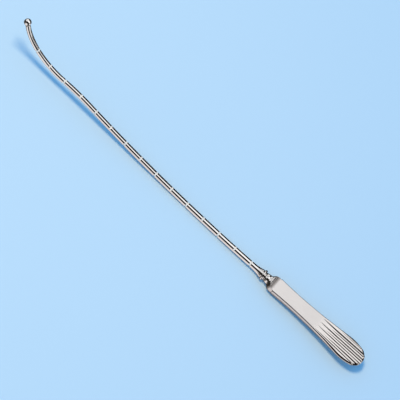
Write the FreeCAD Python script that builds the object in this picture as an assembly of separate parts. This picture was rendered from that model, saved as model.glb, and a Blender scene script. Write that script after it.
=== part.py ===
import FreeCAD, Part
import math
import os

from FreeCAD import Vector

# A uterine sound in one piece of steel. It lies with its tip up, on the underside of its shoulder and of
# its bowed shaft. Lengths are in millimetres and angles in degrees. The work is done in a frame whose
# x axis is the axis of the handle: x = 0 is where the bell meets the shaft, and +x points to the tip.

# Shaft
shaft_tip_diameter = 2.95
shaft_root_diameter = 3.65
ball_diameter = 4.5
bow_angle = 11.9
counter_bend_angle = 12.4
counter_bend_radius = 95.5
tip_bend_angle = 66.3
tip_bend_radius = 41.9

# Marks every half inch from the far side of the ball: a ring at each whole inch and a tick between rings
first_mark = 25.4
mark_pitch = 12.7
ring_count = 8
bell_from_last_ring = 1.8
mark_width = 0.9
mark_depth = 0.2
tick_reach_angle = 110.0

# Turned root of the handle
bell_length = 7.0
bell_end_diameter = 5.6
bead_groove_width = 0.45
bead_groove_diameter = 4.8
bead_length = 1.5
bead_diameter = 6.9
bead_rim_diameter = 5.5
bead_bevel = 0.45
neck_length = 3.7
neck_diameter = 5.8

# Shoulder, where the round neck becomes the flat handle
shoulder_diameter = 10.2
shoulder_rise = 3.4
shoulder_front_thickness = 7.3
lip_thickness = 7.8
lip_place = 1.3
ramp_length = 3.7

# Flat handle, with places measured from the end of the neck. The nose is a half circle, and its radius is
# the inset less than half the belly's width
handle_length = 71.9
waist_width = 9.7
waist_place = 18.7
belly_width = 15.0
belly_from_end = 12.4
nose_inset = 0.8
root_thickness = 4.1
middle_place = 38.0
middle_thickness = 3.3
belly_thickness = 3.5
belly_edge_thickness = 2.4
nose_thickness = 3.0
nose_edge_thickness = 1.8
edge_bevel = 0.35

# Flutes on both faces of the wide end
flute_count = 4
flute_pitch = 3.28
flute_radius = 0.95
flute_depth = 0.4
flute_start_place = 37.5
flute_fan_length = 260.0

# Cutting and lofted shapes go this far past what they shape
overrun = 2.0

# A point nearer than this to an outline lies on it
touching = 0.01

# The angle that the part lies at settles within this many approaches
lay_approaches = 3

# Derived places along the shaft, from the bell, and along the handle's axis
tick_count = ring_count - 1
shaft_length = first_mark + 2 * tick_count * mark_pitch + bell_from_last_ring
ring_places = [shaft_length - first_mark - 2 * mark_pitch * index for index in range(ring_count)]
tick_places = [ring_place - mark_pitch for ring_place in ring_places[:tick_count]]
bead_start = -bell_length - bead_groove_width
bead_end = bead_start - bead_length
neck_start = bead_end - bead_groove_width
neck_end = neck_start - neck_length
ramp_foot_place = lip_place + ramp_length
belly_place = handle_length - belly_from_end
nose_radius = belly_width / 2 - nose_inset

X_AXIS = Vector(1, 0, 0)
Y_AXIS = Vector(0, 1, 0)
Z_AXIS = Vector(0, 0, 1)


def along(heading):
    """Unit vector in the XZ plane, at this angle above the x axis."""
    return Vector(math.cos(math.radians(heading)), 0, math.sin(math.radians(heading)))


class Bend:
    """One arc of the shaft's centre line, with distances from its start. A positive turn bends it upwards."""

    def __init__(self, start, heading, radius, turn):
        self.start = start
        self.heading = heading
        self.radius = radius
        self.turn = turn
        self.length = radius * math.radians(abs(turn))
        self.side = math.copysign(90.0, turn)
        self.centre = start + along(heading + self.side) * radius

    def heading_at(self, distance):
        return self.heading + self.turn * distance / self.length

    def point_at(self, distance):
        return self.centre - along(self.heading_at(distance) + self.side) * self.radius

    def bar(self, begin, end, bar_radius):
        """Round bar along this stretch of the arc."""
        rim = Part.makeCircle(bar_radius, self.point_at(begin), along(self.heading_at(begin)))
        pivot = Y_AXIS * -math.copysign(1.0, self.turn)
        return Part.Face(Part.Wire(rim)).revolve(self.centre, pivot, math.degrees((end - begin) / self.radius))


def centre_line():
    """Bow, counter bend and tip bend, tangent to each other, from the bell to the ball's centre."""
    tip_length = tip_bend_radius * math.radians(tip_bend_angle)
    counter_length = counter_bend_radius * math.radians(counter_bend_angle)
    bow_length = shaft_length - ball_diameter / 2 - tip_length - counter_length
    bends = []
    start = Vector()
    heading = 0.0
    for radius, turn in (
        (bow_length / math.radians(bow_angle), bow_angle),
        (counter_bend_radius, -counter_bend_angle),
        (tip_bend_radius, tip_bend_angle),
    ):
        bend = Bend(start, heading, radius, turn)
        bends.append(bend)
        start = bend.point_at(bend.length)
        heading += turn
    return bends


def shaft_radius(place):
    """The shaft thins towards the tip in small steps, and each step is hidden in a ring."""
    steps = sum(ring_place < place for ring_place in ring_places)
    return (shaft_root_diameter - (shaft_root_diameter - shaft_tip_diameter) * steps / ring_count) / 2


def shaft(bends):
    """Bars end to end along the centre line, with the ball on the last one."""
    bars = []
    travelled = 0.0
    for bend in bends:
        bend_end = travelled + bend.length
        rings = sorted(ring_place for ring_place in ring_places if travelled < ring_place < bend_end)
        stops = [travelled] + rings + [bend_end]
        for begin, end in zip(stops, stops[1:]):
            bars.append(bend.bar(begin - travelled, end - travelled, shaft_radius(end)))
        travelled = bend_end
    ball = Part.makeSphere(ball_diameter / 2, bends[-1].point_at(bends[-1].length))
    return ball.fuse(bars)


def mark_cutter(bends, place, reach):
    """V groove of mark_width by mark_depth over this angle of the shaft, about its top."""
    radius = shaft_radius(place)
    spread = mark_width
    outside = radius + mark_depth
    bottom = Vector(0, 0, radius - mark_depth)
    blade = Part.Face(Part.makePolygon([bottom, Vector(spread, 0, outside), Vector(-spread, 0, outside), bottom]))
    blade.rotate(Vector(), X_AXIS, -reach / 2)
    groove = blade.revolve(Vector(), X_AXIS, reach)
    for bend in bends:
        if place <= bend.length:
            break
        place -= bend.length
    groove.rotate(Vector(), Y_AXIS, -bend.heading_at(place))
    groove.translate(bend.point_at(place))
    return groove


def mark_cutters(bends):
    rings = [mark_cutter(bends, place, 360.0) for place in ring_places]
    ticks = [mark_cutter(bends, place, tick_reach_angle) for place in tick_places]
    return rings + ticks


def profile_edges(points, side=1):
    """Edges in the XZ plane through (x, z) points. A point's last two numbers bend its edge through there."""
    edges = []
    for here, there in zip(points, points[1:]):
        start = Vector(here[0], 0, side * here[1])
        end = Vector(there[0], 0, side * there[1])
        if len(there) == 4:
            edges.append(Part.Arc(start, Vector(there[2], 0, side * there[3]), end).toShape())
        else:
            edges.append(Part.makeLine(start, end))
    return edges


def revolved(points):
    """Solid turned about the x axis from its half outline."""
    return Part.Face(Part.Wire(profile_edges(points))).revolve(Vector(), X_AXIS, 360)


def slab(points):
    """Block wider than the handle, the same above and below, from the upper half of its side outline."""
    edges = profile_edges(points) + profile_edges(points, -1)
    for x, z in (points[0], points[-1][:2]):
        edges.append(Part.makeLine(Vector(x, 0, z), Vector(x, 0, -z)))
    block = Part.Face(Part.Wire(Part.sortEdges(edges)[0])).extrude(Y_AXIS * 2 * belly_width)
    block.translate(Y_AXIS * -belly_width)
    return block


def turned_root():
    """Bell, bead and neck, turned about the handle's axis."""
    root_radius = shaft_root_diameter / 2
    bell_radius = bell_end_diameter / 2
    flare = bell_radius - root_radius
    flare_radius = (bell_length ** 2 + flare ** 2) / (2 * flare)
    half = bell_length / 2
    flare_middle = root_radius + flare_radius - math.sqrt(flare_radius ** 2 - half ** 2)
    groove_bottom = bead_groove_diameter / 2
    bead_rim_radius = bead_rim_diameter / 2
    return revolved([
        (0, 0),
        (0, root_radius),
        (-bell_length, bell_radius, -half, flare_middle),
        (-bell_length, groove_bottom),
        (bead_start, groove_bottom),
        (bead_start, bead_rim_radius),
        (bead_start - bead_bevel, bead_diameter / 2),
        (bead_end + bead_bevel, bead_diameter / 2),
        (bead_end, bead_rim_radius),
        (bead_end, groove_bottom),
        (neck_start, groove_bottom),
        (neck_start, neck_diameter / 2),
        (neck_end - shoulder_rise, neck_diameter / 2),
        (neck_end - shoulder_rise, 0),
        (0, 0),
    ])


def handle_point(place, y, z):
    return Vector(neck_end - place, y, z)


def shoulder_slab():
    """Front, lip and ramp of the shoulder."""
    foot = root_thickness / 2
    drop = lip_thickness / 2 - foot
    ramp_radius = (ramp_length ** 2 + drop ** 2) / (2 * drop)
    half = ramp_length / 2
    ramp_middle = foot + ramp_radius - math.sqrt(ramp_radius ** 2 - half ** 2)
    return slab([
        (neck_end, shoulder_front_thickness / 2),
        (neck_end - lip_place, lip_thickness / 2),
        (neck_end - ramp_foot_place, foot, neck_end - lip_place - half, ramp_middle),
    ])


def flat_slab():
    """Flat of the plate, which thins from the ramp's foot to the middle."""
    return slab([
        (neck_end - ramp_foot_place, root_thickness / 2),
        (neck_end - middle_place, middle_thickness / 2),
    ])


def crown_radius(thickness, edge_thickness):
    """Radius of a face that falls from the middle's thickness to the edge's at the belly's half width."""
    half = belly_width / 2
    crown = (thickness - edge_thickness) / 2
    return (half ** 2 + crown ** 2) / (2 * crown)


def crowned_section(place, thickness, edge_thickness):
    """Section across the wide end, wider than the belly. It is flat where middle and edge are as thick."""
    reach = belly_width / 2 + overrun
    top = thickness / 2
    crowned = thickness > edge_thickness
    rim = top
    if crowned:
        radius = crown_radius(thickness, edge_thickness)
        rim = top - radius + math.sqrt(radius ** 2 - reach ** 2)
    edges = []
    for side in (1, -1):
        left = handle_point(place, -reach, side * rim)
        right = handle_point(place, reach, side * rim)
        if crowned:
            edges.append(Part.Arc(left, handle_point(place, 0, side * top), right).toShape())
        else:
            edges.append(Part.makeLine(left, right))
        edges.append(Part.makeLine(handle_point(place, side * reach, -rim), handle_point(place, side * reach, rim)))
    return Part.Wire(Part.sortEdges(edges)[0])


def crowned_end():
    """Wide end of the plate, lofted from its flat middle to the crowned belly and nose."""
    return Part.makeLoft([
        crowned_section(middle_place, middle_thickness, middle_thickness),
        crowned_section(belly_place, belly_thickness, belly_edge_thickness),
        crowned_section(handle_length + overrun, nose_thickness, nose_edge_thickness),
    ], True)


def plan_outline():
    """Outline from above: shoulder, waist, belly and nose, as tangent arcs mirrored about the axis."""
    half_waist = waist_width / 2
    half_belly = belly_width / 2
    nose_place = handle_length - nose_radius
    belly_run = nose_place - belly_place
    belly_radius = (belly_run ** 2 + half_belly ** 2 - nose_radius ** 2) / (2 * (half_belly - nose_radius))
    waist_run = belly_place - waist_place
    swell = half_belly - half_waist
    radii = (waist_run ** 2 + swell ** 2) / (2 * swell)
    waist_radius = radii - belly_radius
    waist_centre = half_waist + waist_radius
    belly_centre = half_belly - belly_radius

    def on_waist(place):
        return waist_centre - math.sqrt(waist_radius ** 2 - (place - waist_place) ** 2)

    def on_belly(place):
        return belly_centre + math.sqrt(belly_radius ** 2 - (place - belly_place) ** 2)

    swell_place = waist_place + waist_run * waist_radius / radii
    lean = math.atan2(belly_run, -belly_centre)
    join_place = nose_place + nose_radius * math.sin(lean)
    join_y = nose_radius * math.cos(lean)
    half_shoulder = shoulder_diameter / 2
    blend_place = ramp_foot_place
    edges = []
    for side in (1, -1):
        shoulder = handle_point(0, side * half_shoulder, 0)
        blend = handle_point(blend_place, side * on_waist(blend_place), 0)
        swell_point = handle_point(swell_place, side * on_waist(swell_place), 0)
        join = handle_point(join_place, side * join_y, 0)
        edges.append(Part.makeLine(handle_point(0, 0, 0), shoulder))
        edges.append(Part.makeLine(shoulder, blend))
        edges.append(Part.Arc(blend, handle_point(waist_place, side * half_waist, 0), swell_point).toShape())
        edges.append(Part.Arc(swell_point, handle_point(belly_place, side * half_belly, 0), join).toShape())
        if side == 1:
            nose_start = join
    edges.append(Part.Arc(nose_start, handle_point(handle_length, 0, 0), join).toShape())
    return Part.Wire(Part.sortEdges(edges)[0])


def turned_shoulder():
    """Turned blank of the shoulder: a dome that rises from the neck, then a short cylinder."""
    neck_radius = neck_diameter / 2
    full_radius = shoulder_diameter / 2
    rise = full_radius - neck_radius
    dome_radius = (shoulder_rise ** 2 + rise ** 2) / (2 * rise)
    half = shoulder_rise / 2
    dome_middle = full_radius - dome_radius + math.sqrt(dome_radius ** 2 - half ** 2)
    return revolved([
        (neck_end, 0),
        (neck_end, neck_radius),
        (neck_end - shoulder_rise, full_radius, neck_end - half, dome_middle),
        (neck_end - ramp_foot_place, full_radius),
        (neck_end - ramp_foot_place, 0),
        (neck_end, 0),
    ])


def handle_blank():
    """Shoulder and plate before the flutes are cut, with the plate's long edges broken."""
    outline = plan_outline()
    plan = Part.Face(outline)
    plan.translate(Z_AXIS * -shoulder_diameter)
    plan = plan.extrude(Z_AXIS * 2 * shoulder_diameter)
    plate = flat_slab().fuse(crowned_end()).common(plan)
    rims = []
    for edge in plate.Edges:
        middle = edge.valueAt((edge.FirstParameter + edge.LastParameter) / 2)
        below = Part.Vertex(Vector(middle.x, middle.y, 0))
        if abs(middle.z) > edge_bevel and outline.distToShape(below)[0] < touching:
            rims.append(edge)
    shoulder = shoulder_slab().common(turned_shoulder()).common(plan)
    return plate.makeChamfer(edge_bevel, rims).fuse(shoulder)


def flute_cutters():
    """Round bars that sink into both faces, from the flat middle to flute_depth at the nose."""
    radius = crown_radius(nose_thickness, nose_edge_thickness)
    run = handle_length - flute_start_place
    cutters = []
    for index in range(flute_count):
        y = (index - (flute_count - 1) / 2) * flute_pitch
        start_y = y * (1 - run / flute_fan_length)
        nose_z = nose_thickness / 2 - radius + math.sqrt(radius ** 2 - y ** 2) - flute_depth
        for side in (1, -1):
            touch = handle_point(flute_start_place, start_y, side * (middle_thickness / 2 + flute_radius))
            end = handle_point(handle_length, y, side * (nose_z + flute_radius))
            heading = (end - touch).normalize()
            start = touch - heading * overrun
            length = (end - start).Length + overrun
            cutters.append(Part.makeCylinder(flute_radius, length, start, heading))
    return cutters


def lay_angle(bends):
    """How far the tip end sinks for the shoulder's lip and the bow's underside to lie on one surface."""
    bow = bends[0]
    lip = handle_point(lip_place, 0, -lip_thickness / 2)
    to_centre = bow.centre - lip
    angle = 0.0
    for approach in range(lay_approaches):
        touch_place = bow.radius * math.radians(angle)
        underside = bow.radius + shaft_radius(touch_place)
        angle = math.degrees(math.atan2(to_centre.z, to_centre.x) - math.asin(underside / to_centre.Length))
    return angle


def uterine_sound():
    bends = centre_line()
    rod = shaft(bends).cut(mark_cutters(bends))
    handle = handle_blank().cut(flute_cutters())
    whole = rod.fuse([turned_root(), handle]).Solids[0]
    whole.rotate(Vector(), Y_AXIS, lay_angle(bends))
    box = whole.optimalBoundingBox(False, False)
    whole.translate(Vector(-box.Center.x, -box.Center.y, -box.ZMin))
    return whole


if __name__ == "__main__":
    os.makedirs("parts", exist_ok=True)
    uterine_sound().exportStep("parts/uterine_sound.step")
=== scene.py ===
import math

import bpy
import numpy as np
from mathutils import Matrix, Vector


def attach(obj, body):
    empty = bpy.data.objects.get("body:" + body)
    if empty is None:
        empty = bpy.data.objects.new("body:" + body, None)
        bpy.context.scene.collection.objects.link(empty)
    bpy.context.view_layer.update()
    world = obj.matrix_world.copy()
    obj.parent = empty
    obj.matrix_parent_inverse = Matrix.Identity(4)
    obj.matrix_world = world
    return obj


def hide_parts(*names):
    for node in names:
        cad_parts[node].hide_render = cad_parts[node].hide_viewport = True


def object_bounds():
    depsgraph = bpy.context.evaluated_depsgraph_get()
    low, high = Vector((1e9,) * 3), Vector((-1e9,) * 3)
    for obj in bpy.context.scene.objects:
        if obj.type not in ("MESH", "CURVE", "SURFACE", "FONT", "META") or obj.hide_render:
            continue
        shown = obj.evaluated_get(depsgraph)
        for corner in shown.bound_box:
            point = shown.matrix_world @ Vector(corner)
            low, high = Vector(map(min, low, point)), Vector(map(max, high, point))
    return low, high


# A uterine sound in one piece of steel. Lengths are in millimetres and angles in degrees until a mesh is
# made. The shapes are worked out in the handle's frame: x runs along the handle's axis, x = 0 is where the
# bell meets the shaft, and +x points to the tip.
MM = 0.001

# Shaft, with its bends from the bell to the tip
shaft_tip_diameter = 2.95
shaft_root_diameter = 3.65
taper_start = -10.0
ball_diameter = 4.5
bow_angle = 11.9
counter_bend_angle = 12.4
counter_bend_radius = 95.5
tip_bend_angle = 66.3
tip_bend_radius = 41.9

# Marks every half inch: a ring at each whole inch and a tick between rings. The etched share is how deep a
# spot has to be, as a share of the mark's depth, for the frosted finish.
first_mark = 25.4
mark_pitch = 12.7
ring_count = 8
bell_from_last_ring = 1.8
mark_width = 1.2
mark_depth = 0.2
mark_side_power = 1.5
tick_reach_angle = 110.0
tick_fade_angle = 14.0
etched_share = 0.25

# Turned root of the handle
bell_length = 7.0
bell_end_diameter = 5.6
bead_groove_width = 0.45
bead_groove_diameter = 4.8
bead_length = 1.5
bead_diameter = 6.9
bead_rim_diameter = 5.5
neck_length = 3.7
neck_diameter = 5.8
turned_edge = 0.12
neck_overlap = 0.9

# Shoulder: a dome that rises from the neck to a lip, and a ramp from there down to the flat
shoulder_diameter = 10.2
shoulder_rise = 3.4
fillet_end = 0.5
shoulder_front_thickness = 7.3
lip_thickness = 7.8
lip_place = 1.3
lip_softness = 0.08
behind_lip_slope = 2.0
ramp_length = 3.7

# Flat handle, with places measured from the end of the neck. Its bevel is narrow on the plain part and grows
# broader on the wide end.
handle_length = 71.9
waist_width = 9.7
waist_place = 18.7
belly_width = 15.0
belly_from_end = 12.4
nose_inset = 0.8
root_thickness = 4.1
middle_place = 38.0
middle_thickness = 3.3
belly_thickness = 3.5
belly_edge_thickness = 2.4
nose_thickness = 3.0
nose_edge_thickness = 1.8
nose_station_beyond = 2.0
plate_edge = 0.42
belly_edge = 0.7
edge_grows_from = 40.0
edge_grows_to = 58.0

# Flutes, which fan out to the nose on both faces
flute_count = 4
flute_pitch = 3.28
flute_radius = 1.65
flute_depth = 0.42
flute_start_place = 37.5
flute_fan_length = 260.0
flute_softness = 0.02
flute_fade = 8.0
least_flute_half = 0.28
most_flute_share = 0.44

# Mesh fineness
round_segments = 72
ball_rings = 30
corner_points = 5
bell_rings = 14
bead_rings = 15
fillet_rings = 14
dome_sections = 30
ramp_sections = 34
plain_sections = 40
wide_sections = 110
nose_sections = 56
outline_steps = 700
flute_points = 13
land_points = 5
rim_points = 13
least_gap = 0.004
inside_box = 0.02
bend_step = 1.2
mark_steps = 14
mark_span = 1.2
mark_clear = 1.3
last_shaft_place = 0.3
least_edge = 0.001
most_edge_share = 0.9
lay_rounds = 3

# A flute's floor beside the flute itself: far above the face, so that it cuts nothing
flute_side_limit = 0.999
beside_flute_slope = 50.0
no_flute_height = 100.0

# Derived
shaft_length = first_mark + 2 * (ring_count - 1) * mark_pitch + bell_from_last_ring
bead_start = -bell_length - bead_groove_width
bead_end = bead_start - bead_length
neck_start = bead_end - bead_groove_width
neck_end = neck_start - neck_length
ramp_foot_place = lip_place + ramp_length
belly_place = handle_length - belly_from_end
nose_radius = belly_width / 2 - nose_inset


def along(heading):
    """Unit vector in the XZ plane, at this angle above the x axis."""
    return np.array([math.cos(math.radians(heading)), 0.0, math.sin(math.radians(heading))])


def bends():
    """Arcs of the centre line from the bell to the ball's centre, as (start, heading, radius, turn, length)."""
    tip_length = tip_bend_radius * math.radians(tip_bend_angle)
    counter_length = counter_bend_radius * math.radians(counter_bend_angle)
    bow_length = shaft_length - ball_diameter / 2 - tip_length - counter_length
    arcs = []
    start = np.zeros(3)
    heading = 0.0
    for radius, turn in (
        (bow_length / math.radians(bow_angle), bow_angle),
        (counter_bend_radius, -counter_bend_angle),
        (tip_bend_radius, tip_bend_angle),
    ):
        length = radius * math.radians(abs(turn))
        arcs.append((start, heading, radius, turn, length))
        side = math.copysign(90.0, turn)
        centre = start + along(heading + side) * radius
        start = centre - along(heading + turn + side) * radius
        heading += turn
    return arcs


ARCS = bends()


def centre_line(place):
    """Point and heading of the centre line at a distance from the bell, straight beyond both ends."""
    if place <= 0:
        return np.array([place, 0.0, 0.0]), 0.0
    index = 0
    while place > ARCS[index][4] and index < len(ARCS) - 1:
        place -= ARCS[index][4]
        index += 1
    start, heading, radius, turn, length = ARCS[index]
    beyond = max(place - length, 0.0)
    here = heading + turn * min(place, length) / length
    side = math.copysign(90.0, turn)
    centre = start + along(heading + side) * radius
    return centre - along(here + side) * radius + along(here) * beyond, here


def shaft_radius(place):
    tip_share = np.clip((place - taper_start) / (shaft_length - ball_diameter / 2), 0.0, 1.0)
    return (shaft_root_diameter + (shaft_tip_diameter - shaft_root_diameter) * tip_share) / 2


def mark_places():
    """(distance from the bell, True for a ring) of each mark."""
    count = 2 * ring_count - 1
    return [(shaft_length - first_mark - mark_pitch * index, index % 2 == 0) for index in range(count)]


def groove_depth(offset):
    """Depth of a mark at this distance from its middle: round at the bottom, eased at its lips."""
    share = np.clip(np.abs(offset) / (mark_width / 2), 0.0, 1.0)
    return mark_depth * (1 - share ** 2) ** mark_side_power


def tick_window(around):
    """1 on the tick, 0 round the back, for angles from the shaft's top."""
    away = np.abs((around + 180.0) % 360.0 - 180.0)
    share = np.clip((tick_reach_angle / 2 - away) / tick_fade_angle + 0.5, 0.0, 1.0)
    return share * share * (3 - 2 * share)


def corner(before, at, after, size):
    """Points that round a corner of a profile."""
    before, at, after = (np.array(point, float) for point in (before, at, after))
    start = at + (before - at) / np.linalg.norm(before - at) * size
    end = at + (after - at) / np.linalg.norm(after - at) * size
    shares = np.linspace(0, 1, corner_points)[:, None]
    return list((1 - shares) ** 2 * start + 2 * shares * (1 - shares) * at + shares ** 2 * end)


def ball_profile():
    """(distance past the ball's centre, radius) from the pole to where the shaft joins."""
    radius = ball_diameter / 2 - inside_box
    join = math.pi - math.asin(shaft_tip_diameter / ball_diameter)
    angles = np.linspace(0, join, ball_rings)
    return [(radius * math.cos(angle), radius * math.sin(angle)) for angle in angles]


def shaft_places():
    """Places along the shaft from the tip to the bell, closer together at the marks."""
    first = shaft_length - ball_diameter
    places = list(np.arange(first - bend_step, last_shaft_place, -bend_step))
    half = mark_width / 2
    for mark, _ in mark_places():
        places = [place for place in places if abs(place - mark) > half * mark_clear]
        places += list(mark + np.linspace(-half * mark_span, half * mark_span, mark_steps))
    return sorted(places, reverse=True)


def root_profile():
    """Bell, bead and neck as (place, radius) points, from the shaft to inside the shoulder."""
    root = float(shaft_radius(0))
    bell = bell_end_diameter / 2
    flare = bell - root
    flare_radius = (bell_length ** 2 + flare ** 2) / (2 * flare)
    places = np.linspace(0, -bell_length + 2 * turned_edge, bell_rings)
    points = [(place, root + flare_radius - math.sqrt(flare_radius ** 2 - place ** 2)) for place in places]
    groove = bead_groove_diameter / 2
    bead_middle = (bead_start + bead_end) / 2
    half = bead_length / 2
    rise = (bead_diameter - bead_rim_diameter) / 2
    round_radius = (half ** 2 + rise ** 2) / (2 * rise)
    corners = [points[-1], (-bell_length, bell), (-bell_length, groove), (bead_start, groove)]
    for before, at, after in zip(corners, corners[1:], corners[2:]):
        points += corner(before, at, after, turned_edge)
    for place in np.linspace(bead_start, bead_end, bead_rings):
        drop = round_radius - math.sqrt(round_radius ** 2 - (place - bead_middle) ** 2)
        points.append((place, bead_diameter / 2 - drop))
    points += corner((bead_end, bead_diameter / 2), (bead_end, groove), (neck_start, groove), turned_edge)
    points += corner((bead_end, groove), (neck_start, groove), (neck_start, neck_diameter / 2), turned_edge)
    points += neck_fillet()
    points.append((neck_end - neck_overlap, points[-1][1]))
    return points


def neck_fillet():
    """Concave blend from the neck to the shoulder's dome."""
    neck = neck_diameter / 2
    lean = math.asin((shoulder_rise - fillet_end) / dome_radius())
    radius = (envelope_radius(fillet_end) - neck) / (1 - math.cos(lean))
    start = fillet_end - radius * math.sin(lean)
    return [
        (neck_end - start - radius * math.sin(turn), neck + radius * (1 - math.cos(turn)))
        for turn in np.linspace(0, lean, fillet_rings)
    ]


def shaft_mesh():
    """Vertices and faces from the ball's pole to inside the shoulder, and 1 for each face that is etched."""
    around = np.linspace(0, 360, round_segments, endpoint=False)
    rings = []
    cuts = []

    def ring(centre, heading, radii, cut=0.0):
        up = along(heading + 90)
        angles = np.radians(around)[:, None]
        side = np.array([0.0, 1.0, 0.0])
        rings.append(centre + (radii - cut)[:, None] * (np.cos(angles) * up + np.sin(angles) * side))
        cuts.append(np.zeros(round_segments) + cut)

    ball_centre, tip_heading = centre_line(shaft_length - ball_diameter / 2)
    ball = ball_profile()
    for past, radius in ball[1:]:
        ring(ball_centre + along(tip_heading) * past, tip_heading, np.full(round_segments, radius))
    for place in shaft_places():
        cut = 0.0
        for mark, is_ring in mark_places():
            cut = cut + groove_depth(place - mark) * (1.0 if is_ring else tick_window(around))
        ring(*centre_line(place), np.full(round_segments, shaft_radius(place)), cut)
    for place, radius in root_profile():
        ring(*centre_line(place), np.full(round_segments, radius))
    pole = ball_centre + along(tip_heading) * ball[0][0]
    end = centre_line(neck_end - neck_overlap)[0]
    verts, faces = closed_tube(rings, pole, end)
    cuts = np.array(cuts)
    deep = (cuts[1:] + cuts[:-1]) / 2 > mark_depth * etched_share
    etched = np.zeros(len(faces), int)
    etched[:deep.size] = deep.ravel()
    return verts, faces, etched


def closed_tube(rings, first, last):
    """Vertices and faces of a tube through the rings, closed by a fan at each end."""
    count = len(rings[0])
    verts = np.concatenate(rings + [np.array([first, last])])
    first_index = len(verts) - 2
    last_index = len(verts) - 1
    faces = []
    for row in range(len(rings) - 1):
        for step in range(count):
            after = (step + 1) % count
            base = row * count
            faces.append((base + after, base + count + after, base + count + step, base + step))
    base = (len(rings) - 1) * count
    for step in range(count):
        after = (step + 1) % count
        faces.append((after, step, first_index))
        faces.append((base + step, base + after, last_index))
    return verts, faces


def soft_min(first, second, softness):
    """The smaller of two heights, blended where they cross."""
    middle = (first + second) / 2
    return middle - np.sqrt(((first - second) / 2) ** 2 + softness ** 2)


def plan_arcs():
    """Waist and belly circles of the plan outline: radius, and where the belly takes over."""
    half_waist = waist_width / 2
    half_belly = belly_width / 2
    run = handle_length - nose_radius - belly_place
    belly_radius = (run ** 2 + half_belly ** 2 - nose_radius ** 2) / (2 * (half_belly - nose_radius))
    waist_run = belly_place - waist_place
    swell = half_belly - half_waist
    radii = (waist_run ** 2 + swell ** 2) / (2 * swell)
    waist_radius = radii - belly_radius
    swell_place = waist_place + waist_run * waist_radius / radii
    lean = math.atan2(run, -(half_belly - belly_radius))
    join_place = handle_length - nose_radius + nose_radius * math.sin(lean)
    return waist_radius, belly_radius, swell_place, join_place


WAIST_RADIUS, BELLY_RADIUS, SWELL_PLACE, JOIN_PLACE = plan_arcs()


def waist_half_width(place):
    return waist_width / 2 + WAIST_RADIUS - np.sqrt(WAIST_RADIUS ** 2 - (place - waist_place) ** 2)


def plan_half_width(place):
    if place < ramp_foot_place:
        share = place / ramp_foot_place
        return shoulder_diameter / 2 * (1 - share) + waist_half_width(ramp_foot_place) * share
    if place < SWELL_PLACE:
        return waist_half_width(place)
    if place < JOIN_PLACE:
        return belly_width / 2 - BELLY_RADIUS + math.sqrt(BELLY_RADIUS ** 2 - (place - belly_place) ** 2)
    return math.sqrt(max(nose_radius ** 2 - (place - handle_length + nose_radius) ** 2, 0.0))


def dome_radius():
    rise = (shoulder_diameter - neck_diameter) / 2
    return (shoulder_rise ** 2 + rise ** 2) / (2 * rise)


def envelope_radius(place):
    """Radius of the turned blank: a dome that rises from the neck, then a cylinder."""
    before = max(shoulder_rise - place, 0.0)
    return shoulder_diameter / 2 - dome_radius() + math.sqrt(dome_radius() ** 2 - before ** 2)


def side_height(place):
    """Half the thickness along the middle: front, lip, ramp and flat."""
    front = shoulder_front_thickness / 2
    top = lip_thickness / 2
    foot = root_thickness / 2
    end = middle_thickness / 2
    rise = front + (top - front) * place / lip_place
    drop = top - foot
    ramp_radius = (ramp_length ** 2 + drop ** 2) / (2 * drop)
    back = max(ramp_foot_place - place, 0.0)
    steep = behind_lip_slope * max(back - ramp_length, 0.0)
    ramp = foot + ramp_radius - math.sqrt(ramp_radius ** 2 - min(back, ramp_length) ** 2) + steep
    if place < ramp_foot_place:
        return float(soft_min(rise, ramp, lip_softness))
    share = (place - ramp_foot_place) / (middle_place - ramp_foot_place)
    return foot + (end - foot) * min(share, 1.0)


def crown_height(place, y):
    """Half the thickness of the wide end, interpolated between its flat middle, belly and nose sections."""
    stations = np.array([middle_place, belly_place, handle_length + nose_station_beyond])
    tops = np.array([middle_thickness, belly_thickness, nose_thickness]) / 2
    edges = np.array([middle_thickness, belly_edge_thickness, nose_edge_thickness]) / 2
    weights = quadratic_weights(place, stations)
    half = belly_width / 2
    crown = (tops - edges)[None, :] * (y[:, None] / half) ** 2
    return (weights * (tops - crown)).sum(1)


def quadratic_weights(place, stations):
    """Weights of a curve through three stations."""
    first, second, third = stations
    return np.array([
        (place - second) * (place - third) / ((first - second) * (first - third)),
        (place - first) * (place - third) / ((second - first) * (second - third)),
        (place - first) * (place - second) / ((third - first) * (third - second)),
    ])


def flute_lines(place):
    """(y, z) of each flute's lowest line at this place."""
    run = handle_length - flute_start_place
    share = max((place - flute_start_place) / run, 0.0)
    crown_drop = (nose_thickness - nose_edge_thickness) / 2
    lines = []
    for index in range(flute_count):
        nose_y = (index - (flute_count - 1) / 2) * flute_pitch
        nose_z = nose_thickness / 2 - crown_drop * (nose_y / (belly_width / 2)) ** 2 - flute_depth
        line_y = nose_y * (1 - run / flute_fan_length * (1 - share))
        lines.append((line_y, middle_thickness / 2 * (1 - share) + nose_z * share))
    return lines


def flute_floor(place, y):
    """Height of the flutes' round bottoms, far above the face where there is no flute."""
    floor = np.full(len(y), no_flute_height)
    for line_y, line_z in flute_lines(place):
        off = np.abs(y - line_y) / flute_radius
        bar = line_z + flute_radius * (1 - np.sqrt(1 - np.clip(off, 0, flute_side_limit) ** 2))
        floor = np.minimum(floor, bar + beside_flute_slope * np.maximum(off - flute_side_limit, 0.0))
    return floor


def flute_half_chord(place, line_y, line_z):
    """Half of a flute's width where it meets the face, kept apart from its neighbours."""
    depth = crown_height(place, np.array([line_y]))[0] - line_z if place > middle_place else 0.0
    depth = min(max(depth, 0.0), flute_radius)
    half = math.sqrt(flute_radius ** 2 - (flute_radius - depth) ** 2)
    return min(max(half, least_flute_half), flute_pitch * most_flute_share)


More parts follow.
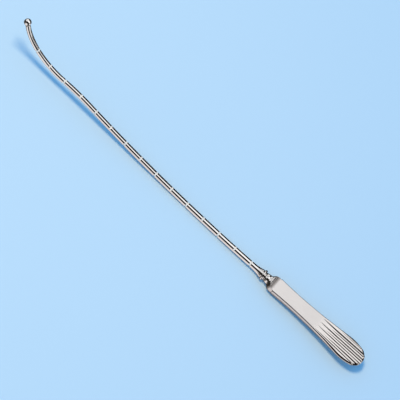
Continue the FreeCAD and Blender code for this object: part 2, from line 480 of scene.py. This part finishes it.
def edge_share(place):
    """0 on the plain handle to 1 on the wide end, whose bevel is broader."""
    share = min(max((place - edge_grows_from) / (edge_grows_to - edge_grows_from), 0.0), 1.0)
    return share * share * (3 - 2 * share)


def edge_size(place):
    return plate_edge + (belly_edge - plate_edge) * edge_share(place)


def columns(place, width):
    """Places across the handle, kept on the flutes' edges and close together at the rims."""
    edges = []
    for line_y, line_z in flute_lines(place):
        half = flute_half_chord(place, line_y, line_z)
        edges.append((line_y - half, line_y + half))
    lean = np.sin(np.linspace(-1, 1, flute_points) * math.pi / 2)
    turn = 1 - np.cos(np.linspace(0, 1, rim_points) * math.pi / 2)
    reach = max(width - edges[-1][1], least_gap)
    rim = min(edge_size(place), reach) * turn
    inner = np.linspace(edges[-1][1], width - rim[-1], land_points)[1:-1]
    right = np.concatenate([inner, (width - rim)[::-1]])
    y = [-right[::-1]]
    for index, (left_edge, right_edge) in enumerate(edges):
        middle = (left_edge + right_edge) / 2
        y.append(middle + lean * (right_edge - left_edge) / 2)
        if index + 1 < len(edges):
            y.append(np.linspace(right_edge, edges[index + 1][0], land_points)[1:-1])
    y.append(right)
    y = np.concatenate(y)
    count = len(y)
    if place < ramp_foot_place:
        whole = width * np.sin(np.linspace(-1, 1, count) * math.pi / 2)
        share = place / ramp_foot_place
        y = whole * (1 - share) + y * share
    gap = min(least_gap, width / count / 2)
    y = np.minimum(y, width - gap * np.arange(count)[::-1])
    return np.maximum(y, gap * np.arange(count) - width)


def handle_places():
    """Places of the handle's sections, closer together towards both of its ends."""
    turns = np.linspace(0, 1, dome_sections) * math.pi / 2
    places = list(shoulder_rise * (1 - np.cos(turns)) * lip_place / shoulder_rise)
    places += list(np.linspace(lip_place, ramp_foot_place, ramp_sections)[1:])
    places += list(np.linspace(ramp_foot_place, flute_start_place, plain_sections)[1:])
    places += list(np.linspace(flute_start_place, JOIN_PLACE, wide_sections)[1:])
    nose = handle_length - nose_radius
    first = math.asin((JOIN_PLACE - nose) / nose_radius)
    angles = np.linspace(first, math.pi / 2, nose_sections)[1:]
    places += list(nose + nose_radius * np.sin(angles) - inside_box)
    return places


def outline_points():
    """Places and half widths of points on the plan's outline."""
    nose = handle_places()[1 - nose_sections:]
    places = np.concatenate([np.linspace(0, JOIN_PLACE, outline_steps), np.array(nose)])
    widths = np.array([plan_half_width(place) for place in places])
    return places, widths


def edge_distance(place, y, outline):
    """Distance inwards from the plan's outline."""
    places, widths = outline
    return np.sqrt(((place - places)[None, :] ** 2 + (np.abs(y)[:, None] - widths[None, :]) ** 2).min(1))


def handle_mesh():
    """Sections across the handle, from the neck to the nose."""
    outline = outline_points()
    rings = []
    for place in handle_places():
        width = plan_half_width(place) - inside_box
        in_shoulder = place < ramp_foot_place
        if in_shoulder:
            width = min(width, envelope_radius(place))
        y = columns(place, width)
        if place < middle_place:
            height = np.full(len(y), side_height(place))
        else:
            height = crown_height(place, y)
        if place > flute_start_place:
            softness = flute_softness * min((place - flute_start_place) / flute_fade, 1.0)
            height = soft_min(height, flute_floor(place, y), softness)
        if in_shoulder:
            dome = np.sqrt(np.maximum(envelope_radius(place) ** 2 - y ** 2, 0.0))
            height = np.maximum(soft_min(height, dome, lip_softness), least_gap)
        share = min(place / ramp_foot_place, 1.0)
        size = min(edge_size(place) * share, height[0] * most_edge_share)
        if size > least_edge:
            inside = np.clip(edge_distance(place, y, outline) - inside_box, 0, size)
            inside = np.minimum(inside, np.clip(width - np.abs(y), 0, size))
            height = height - (size - inside)
        x = np.full(len(y), neck_end - place)
        top = np.stack([x, y, height], 1)
        bottom = np.stack([x, y, -height], 1)[::-1]
        rings.append(np.concatenate([top, bottom]))
    first = np.array([neck_end, 0.0, 0.0])
    last = np.array([neck_end - handle_length + inside_box, 0.0, 0.0])
    return closed_tube(rings, first, last)


def lay_angle():
    """How far the tip end sinks for the shoulder's lip and the bow's underside to lie on the floor."""
    start, _, radius, _, _ = ARCS[0]
    lip = np.array([neck_end - lip_place, 0.0, -lip_thickness / 2])
    to_centre = start + np.array([0.0, 0.0, radius]) - lip
    angle = 0.0
    for _ in range(lay_rounds):
        underside = radius + shaft_radius(radius * math.radians(angle))
        reach = math.hypot(to_centre[0], to_centre[2])
        angle = math.degrees(math.atan2(to_centre[2], to_centre[0]) - math.asin(underside / reach))
    return angle


LAY = Matrix.Rotation(math.radians(lay_angle()), 4, "Y")


def laid(points):
    """Points of the handle's frame, turned as the part lies."""
    return points @ np.array(LAY.to_3x3()).T


def make_piece(name, verts, faces, materials, material_of_face):
    mesh = bpy.data.meshes.new(name)
    mesh.from_pydata([tuple(vert) for vert in verts * MM], [], faces)
    for material in materials:
        mesh.materials.append(material)
    mesh.polygons.foreach_set("material_index", material_of_face)
    mesh.validate()
    mesh.polygons.foreach_set("use_smooth", [True] * len(mesh.polygons))
    mesh.update()
    piece = bpy.data.objects.new(name, mesh)
    bpy.context.scene.collection.objects.link(piece)
    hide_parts("uterine_sound")
    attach(piece, "root")
    return piece


# Finishes of the steel: its two shades, roughness, the grain's scale along and across the part, how much the
# grain shows as bump, how much the roughness varies, and how metallic it is
polished_finish = {
    "shades": ((0.76, 0.75, 0.74), (0.84, 0.835, 0.83)), "roughness": 0.08, "smear": 0.02,
    "grain_scale": (60, 900, 900), "grain_strength": 0.06, "metallic": 1.0,
}
satin_finish = {
    "shades": ((0.62, 0.60, 0.59), (0.70, 0.68, 0.67)), "roughness": 0.30, "smear": 0.03,
    "grain_scale": (120, 4000, 4000), "grain_strength": 0.2, "metallic": 1.0,
}
etched_finish = {
    "shades": ((0.95, 0.88, 0.78), (0.98, 0.92, 0.83)), "roughness": 0.55, "smear": 0.03,
    "grain_scale": (900, 900, 900), "grain_strength": 0.2, "metallic": 0.2,
}
grain_noise = {"Scale": 1.0, "Detail": 3.0, "Roughness": 0.6}
smear_noise = {"Scale": 90.0, "Detail": 2.0, "Roughness": 0.5}
grain_height = 0.00002

# Smoother stretches of the handle, between two places from the end of the neck: the fluted end and the dome
fluted_stretch = (34.0, 50.0)
fluted_roughness = 0.09
dome_stretch = (1.9, 0.9)
dome_roughness = 0.14


class Nodes:
    """Short ways to add nodes to a tree and join them."""

    def __init__(self, tree):
        self.tree = tree

    def add(self, kind, **inputs):
        node = self.tree.nodes.new(kind)
        for name, value in inputs.items():
            node.inputs[name.replace("_", " ")].default_value = value
        return node

    def link(self, out, into):
        self.tree.links.new(out, into)


def steel(name, shades, roughness, smear, grain_scale, grain_strength, metallic, stretches=()):
    """Bare steel with fine grain along the piece, and slightly uneven gloss. A stretch of it, between two
    places along x, takes another roughness."""
    material = bpy.data.materials.new(name)
    material.use_nodes = True
    tree = material.node_tree
    nodes = Nodes(tree)
    shader = tree.nodes["Principled BSDF"]
    shader.inputs["Metallic"].default_value = metallic
    place = nodes.add("ShaderNodeTexCoord").outputs["Object"]
    stretch = nodes.add("ShaderNodeMapping")
    stretch.inputs["Scale"].default_value = grain_scale
    nodes.link(place, stretch.inputs["Vector"])
    grain = nodes.add("ShaderNodeTexNoise", **grain_noise)
    nodes.link(stretch.outputs["Vector"], grain.inputs["Vector"])
    cloud = nodes.add("ShaderNodeTexNoise", **smear_noise)
    nodes.link(place, cloud.inputs["Vector"])
    gloss = nodes.add("ShaderNodeMapRange")
    gloss.inputs["To Min"].default_value = roughness - smear
    gloss.inputs["To Max"].default_value = roughness + smear
    nodes.link(cloud.outputs["Fac"], gloss.inputs["Value"])
    rough = gloss.outputs["Result"]
    split = nodes.add("ShaderNodeSeparateXYZ")
    nodes.link(place, split.inputs["Vector"])
    for begin, end, other_roughness in stretches:
        reach = nodes.add("ShaderNodeMapRange")
        reach.interpolation_type = "SMOOTHSTEP"
        reach.inputs["From Min"].default_value = begin
        reach.inputs["From Max"].default_value = end
        nodes.link(split.outputs["X"], reach.inputs["Value"])
        blend = nodes.add("ShaderNodeMix")
        blend.inputs["B"].default_value = other_roughness
        nodes.link(reach.outputs["Result"], blend.inputs["Factor"])
        nodes.link(rough, blend.inputs["A"])
        rough = blend.outputs["Result"]
    nodes.link(rough, shader.inputs["Roughness"])
    tint = nodes.add("ShaderNodeMix")
    tint.data_type = "RGBA"
    tint.inputs["A"].default_value = shades[0] + (1,)
    tint.inputs["B"].default_value = shades[1] + (1,)
    nodes.link(grain.outputs["Fac"], tint.inputs["Factor"])
    nodes.link(tint.outputs["Result"], shader.inputs["Base Color"])
    bump = nodes.add("ShaderNodeBump", Strength=grain_strength, Distance=grain_height)
    nodes.link(grain.outputs["Fac"], bump.inputs["Height"])
    nodes.link(bump.outputs["Normal"], shader.inputs["Normal"])
    return material


# Floor, in metres
floor_reach = 3.0
floor_colour = (0.52, 0.745, 0.93)
floor_roughness = 0.6
floor_gloss = 0.2


def floor_material():
    material = bpy.data.materials.new("pale_floor")
    material.use_nodes = True
    shader = material.node_tree.nodes["Principled BSDF"]
    shader.inputs["Base Color"].default_value = floor_colour + (1,)
    shader.inputs["Roughness"].default_value = floor_roughness
    shader.inputs["Specular IOR Level"].default_value = floor_gloss
    return material


def make_floor():
    """Plain floor, which the metal doesn't show."""
    mesh = bpy.data.meshes.new("floor")
    corners = [(x * floor_reach, y * floor_reach, 0) for x, y in ((-1, -1), (1, -1), (1, 1), (-1, 1))]
    mesh.from_pydata(corners, [], [(0, 1, 2, 3)])
    floor = bpy.data.objects.new("floor", mesh)
    bpy.context.scene.collection.objects.link(floor)
    floor.data.materials.append(floor_material())
    floor.visible_glossy = False


# Cards round the part that its metal shows: how far along the x axis each one stands, from -1 behind the
# handle to 1 past the tip, its angles about that axis, from +Y over the top, and its colour. A later card
# stands before an earlier one. The even light is what all else gets.
even_light = (0.21, 0.49, 0.80)
studio_surround = (0.30, 0.285, 0.28)
studio_cards = (
    ((-2.0, 2.0), (-70, 12), (0.95, 0.88, 0.87)),
    ((-2.0, 2.0), (-200, -124), (0.030, 0.030, 0.032)),
    ((-2.0, 2.0), (130, 200), (0.022, 0.022, 0.024)),
    ((-2.0, 2.0), (14, 75), (0.016, 0.011, 0.009)),
    ((-2.0, 2.0), (75, 130), (1.30, 1.28, 1.27)),
    ((0.32, 2.0), (75, 200), (0.95, 0.95, 0.95)),
    ((0.32, 2.0), (-200, -170), (0.95, 0.95, 0.95)),
    ((0.40, 2.0), (-118, 45), (0.035, 0.030, 0.026)),
    ((0.30, 0.62), (-62, 5), (0.22, 0.20, 0.18)),
    ((0.06, 0.40), (-125, -68), (0.05, 0.045, 0.04)),
    ((0.75, 0.96), (45, 200), (0.95, 0.95, 0.95)),
    ((-0.66, -0.28), (-60, 12), (1.08, 1.05, 1.05)),
    ((-2.0, -0.70), (75, 160), (1.15, 1.15, 1.15)),
    ((-0.95, -0.52), (-80, 78), (0.020, 0.018, 0.016)),
    ((-2.0, -0.74), (-142, -82), (1.1, 1.1, 1.1)),
    ((-2.0, -0.95), (-200, 200), (1.0, 1.0, 1.0)),
)
card_edge_reach = 0.10
card_edge_angle = 5.0


def window(nodes, value, low, high, soft):
    """1 between low and high, with soft edges."""
    sides = []
    for edge, sign in ((low, 1), (high, -1)):
        side = nodes.add("ShaderNodeMapRange")
        side.inputs["From Min"].default_value = edge - sign * soft / 2
        side.inputs["From Max"].default_value = edge + sign * soft / 2
        nodes.link(value, side.inputs["Value"])
        sides.append(side.outputs["Result"])
    return product(nodes, *sides)


def product(nodes, first, second):
    times = nodes.add("ShaderNodeMath")
    times.operation = "MULTIPLY"
    nodes.link(first, times.inputs[0])
    nodes.link(second, times.inputs[1])
    return times.outputs["Value"]


def make_world():
    """Studio round the part: even light for the floor, and cards that only the metal shows."""
    world = bpy.data.worlds.new("studio")
    bpy.context.scene.world = world
    world.use_nodes = True
    tree = world.node_tree
    nodes = Nodes(tree)
    background = tree.nodes["Background"]
    direction = nodes.add("ShaderNodeTexCoord").outputs["Generated"]
    split = nodes.add("ShaderNodeSeparateXYZ")
    nodes.link(direction, split.inputs["Vector"])
    turn = nodes.add("ShaderNodeMath")
    turn.operation = "ARCTAN2"
    nodes.link(split.outputs["Z"], turn.inputs[0])
    nodes.link(split.outputs["Y"], turn.inputs[1])
    seen = None
    for reach, angles, colour in studio_cards:
        card = nodes.add("ShaderNodeMix")
        card.data_type = "RGBA"
        card.inputs["A"].default_value = studio_surround + (1,)
        card.inputs["B"].default_value = colour + (1,)
        if seen:
            nodes.link(seen, card.inputs["A"])
        by_reach = window(nodes, split.outputs["X"], *reach, card_edge_reach)
        by_angle = window(nodes, turn.outputs["Value"], *np.radians(angles), math.radians(card_edge_angle))
        nodes.link(product(nodes, by_reach, by_angle), card.inputs["Factor"])
        seen = card.outputs["Result"]
    path = nodes.add("ShaderNodeLightPath")
    mix = nodes.add("ShaderNodeMix")
    mix.data_type = "RGBA"
    mix.inputs["A"].default_value = even_light + (1,)
    nodes.link(path.outputs["Is Glossy Ray"], mix.inputs["Factor"])
    nodes.link(seen, mix.inputs["B"])
    nodes.link(mix.outputs["Result"], background.inputs["Color"])
    background.inputs["Strength"].default_value = 1.0


# Soft lamp over the tip, in metres and watts. Its warm colour and the world's blue add up to a neutral light.
lamp_place = (0.36, 0.10, 1.2)
lamp_size = 0.28
lamp_power = 11.4
lamp_colour = (1.0, 0.685, 0.37)


def make_lamp():
    light = bpy.data.lights.new("key", "AREA")
    light.shape = "SQUARE"
    light.size = lamp_size
    light.energy = lamp_power
    light.color = lamp_colour
    lamp = bpy.data.objects.new("key", light)
    bpy.context.scene.collection.objects.link(lamp)
    lamp.location = lamp_place
    lamp.rotation_mode = "QUATERNION"
    lamp.rotation_quaternion = (-Vector(lamp_place)).to_track_quat("-Z", "Y")
    lamp.visible_glossy = False


# Dark flags, which only reflections show. One stands across the handle just past its nose, with its corners as
# (y, z), and darkens the ramp and the nose's rim. The other lies along the shaft, with its edges as places along
# the handle's axis and the angles about it between which it is seen, and widens the shaft's dark edge.
flag_place = 82.0
flag_corners = ((-250, 260), (-50, 260), (25, 22), (-85, 22))
flag_shade = (0.15, 0.12, 0.10)
flag_top_shade = (1.0, 0.98, 0.97)
flag_fades_from = 35.0
flag_fades_to = 240.0
shaft_flag_edges = ((8.0, 132.0, 134.0), (60.0, 111.0, 136.0), (150.0, 111.0, 136.0))
shaft_flag_distance = 80.0
black = (0.0, 0.0, 0.0)
shaft_flag_shade = (0.022, 0.022, 0.024)


def make_flag(name, points, faces, shades, fades, shift):
    """Card that glows at a plain level, shaded from its foot to its top, and is seen only in reflections."""
    material = bpy.data.materials.new(name)
    material.use_nodes = True
    nodes = Nodes(material.node_tree)
    shader = material.node_tree.nodes["Principled BSDF"]
    shader.inputs["Base Color"].default_value = black + (1,)
    shader.inputs["Emission Strength"].default_value = 1.0
    split = nodes.add("ShaderNodeSeparateXYZ")
    nodes.link(nodes.add("ShaderNodeTexCoord").outputs["Object"], split.inputs["Vector"])
    fade = nodes.add("ShaderNodeMapRange")
    fade.inputs["From Min"].default_value = fades[0] * MM
    fade.inputs["From Max"].default_value = fades[1] * MM
    nodes.link(split.outputs["Z"], fade.inputs["Value"])
    shade = nodes.add("ShaderNodeMix")
    shade.data_type = "RGBA"
    shade.inputs["A"].default_value = shades[0] + (1,)
    shade.inputs["B"].default_value = shades[1] + (1,)
    nodes.link(fade.outputs["Result"], shade.inputs["Factor"])
    nodes.link(shade.outputs["Result"], shader.inputs["Emission Color"])
    mesh = bpy.data.meshes.new(name)
    mesh.from_pydata([tuple(point) for point in (laid(np.array(points)) + shift) * MM], [], faces)
    flag = bpy.data.objects.new(name, mesh)
    bpy.context.scene.collection.objects.link(flag)
    flag.data.materials.append(material)
    flag.visible_camera = False
    flag.visible_diffuse = False
    flag.visible_shadow = False


def make_flags(shift):
    across = [(neck_end - flag_place, y, z) for y, z in flag_corners]
    fades = (flag_fades_from, flag_fades_to)
    make_flag("cross_flag", across, [(0, 1, 2, 3)], (flag_shade, flag_top_shade), fades, shift)
    beside = []
    for x, *angles in shaft_flag_edges:
        for angle in np.radians(angles):
            beside.append((x, shaft_flag_distance * math.cos(angle), shaft_flag_distance * math.sin(angle)))
    faces = [(0, 1, 3, 2), (2, 3, 5, 4)]
    make_flag("shaft_flag", beside, faces, (shaft_flag_shade, shaft_flag_shade), fades, shift)


# Camera: in the handle's frame it looks from the +Y side, this far off the vertical. The tip points up and
# to the left in the picture. Its distance and reach are in metres. The anchor is a place on the handle's axis,
# counted from the ball, and the pixel that shows it.
view_tilt = 28.0
view_roll = 41.56
pixels_per_mm = 1.715
picture_size = 400.0
anchor_place = 213.0
anchor_pixel = (263.2, 274.7)
camera_distance = 8.0
camera_reach = 100.0
sensor_width = 36.0


def make_camera(shift):
    tilt = math.radians(view_tilt)
    roll = math.radians(view_roll)
    along_x = Vector((1, 0, 0))
    across = Vector((0, math.cos(tilt), -math.sin(tilt)))
    back = Vector((0, math.sin(tilt), math.cos(tilt)))
    right = -math.cos(roll) * along_x - math.sin(roll) * across
    up = math.sin(roll) * along_x - math.cos(roll) * across
    turn = LAY.to_3x3()
    right, up, back = turn @ right, turn @ up, turn @ back
    anchor = (turn @ Vector((shaft_length - anchor_place, 0, 0)) + shift) * MM
    off_x = (anchor_pixel[0] - picture_size / 2) / pixels_per_mm * MM
    off_y = (picture_size / 2 - anchor_pixel[1]) / pixels_per_mm * MM
    centre = anchor - right * off_x - up * off_y
    camera_data = bpy.data.cameras.new("camera")
    camera_data.sensor_width = sensor_width
    half = picture_size / 2 / pixels_per_mm * MM
    camera_data.lens = sensor_width / 2 * camera_distance / half
    camera_data.clip_end = camera_reach
    camera = bpy.data.objects.new("camera", camera_data)
    bpy.context.scene.collection.objects.link(camera)
    pose = Matrix((right, up, back)).transposed().to_4x4()
    pose.translation = centre + back * camera_distance
    camera.matrix_world = pose
    bpy.context.scene.camera = camera


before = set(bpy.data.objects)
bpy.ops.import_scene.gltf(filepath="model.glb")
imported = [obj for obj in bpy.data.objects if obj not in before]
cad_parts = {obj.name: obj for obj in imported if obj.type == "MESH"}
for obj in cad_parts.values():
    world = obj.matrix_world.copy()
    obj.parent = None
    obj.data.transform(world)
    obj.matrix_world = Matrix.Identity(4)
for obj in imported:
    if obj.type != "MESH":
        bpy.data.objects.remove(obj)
cad_low, cad_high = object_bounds()

shaft_verts, shaft_faces, etched = shaft_mesh()
handle_verts, handle_faces = handle_mesh()
shaft_verts = laid(shaft_verts)
handle_verts = laid(handle_verts)
every = np.concatenate([shaft_verts, handle_verts])
low = every.min(0)
high = every.max(0)
middle = (np.array(cad_low) + np.array(cad_high)) / 2 / MM
shift = np.array([middle[0] - (low[0] + high[0]) / 2, 0.0, -low[2]])


def stretch_along(places, roughness):
    """A stretch between two places from the end of the neck, as metres along x, and its roughness."""
    ends = [(laid(np.array([neck_end - place, 0.0, 0.0]))[0] + shift[0]) * MM for place in places]
    return (*ends, roughness)


polished = steel("polished_steel", **polished_finish)
satin = steel("satin_steel", **satin_finish, stretches=(
    stretch_along(fluted_stretch, fluted_roughness), stretch_along(dome_stretch, dome_roughness),
))
etched_steel = steel("etched_steel", **etched_finish)
make_piece("shaft", shaft_verts + shift, shaft_faces, (polished, etched_steel), etched)
make_piece("handle", handle_verts + shift, handle_faces, (satin,), [0] * len(handle_faces))

make_floor()
make_world()
make_lamp()
make_flags(shift)
make_camera(Vector(shift))

view = bpy.context.scene.view_settings
view.view_transform = "Standard"
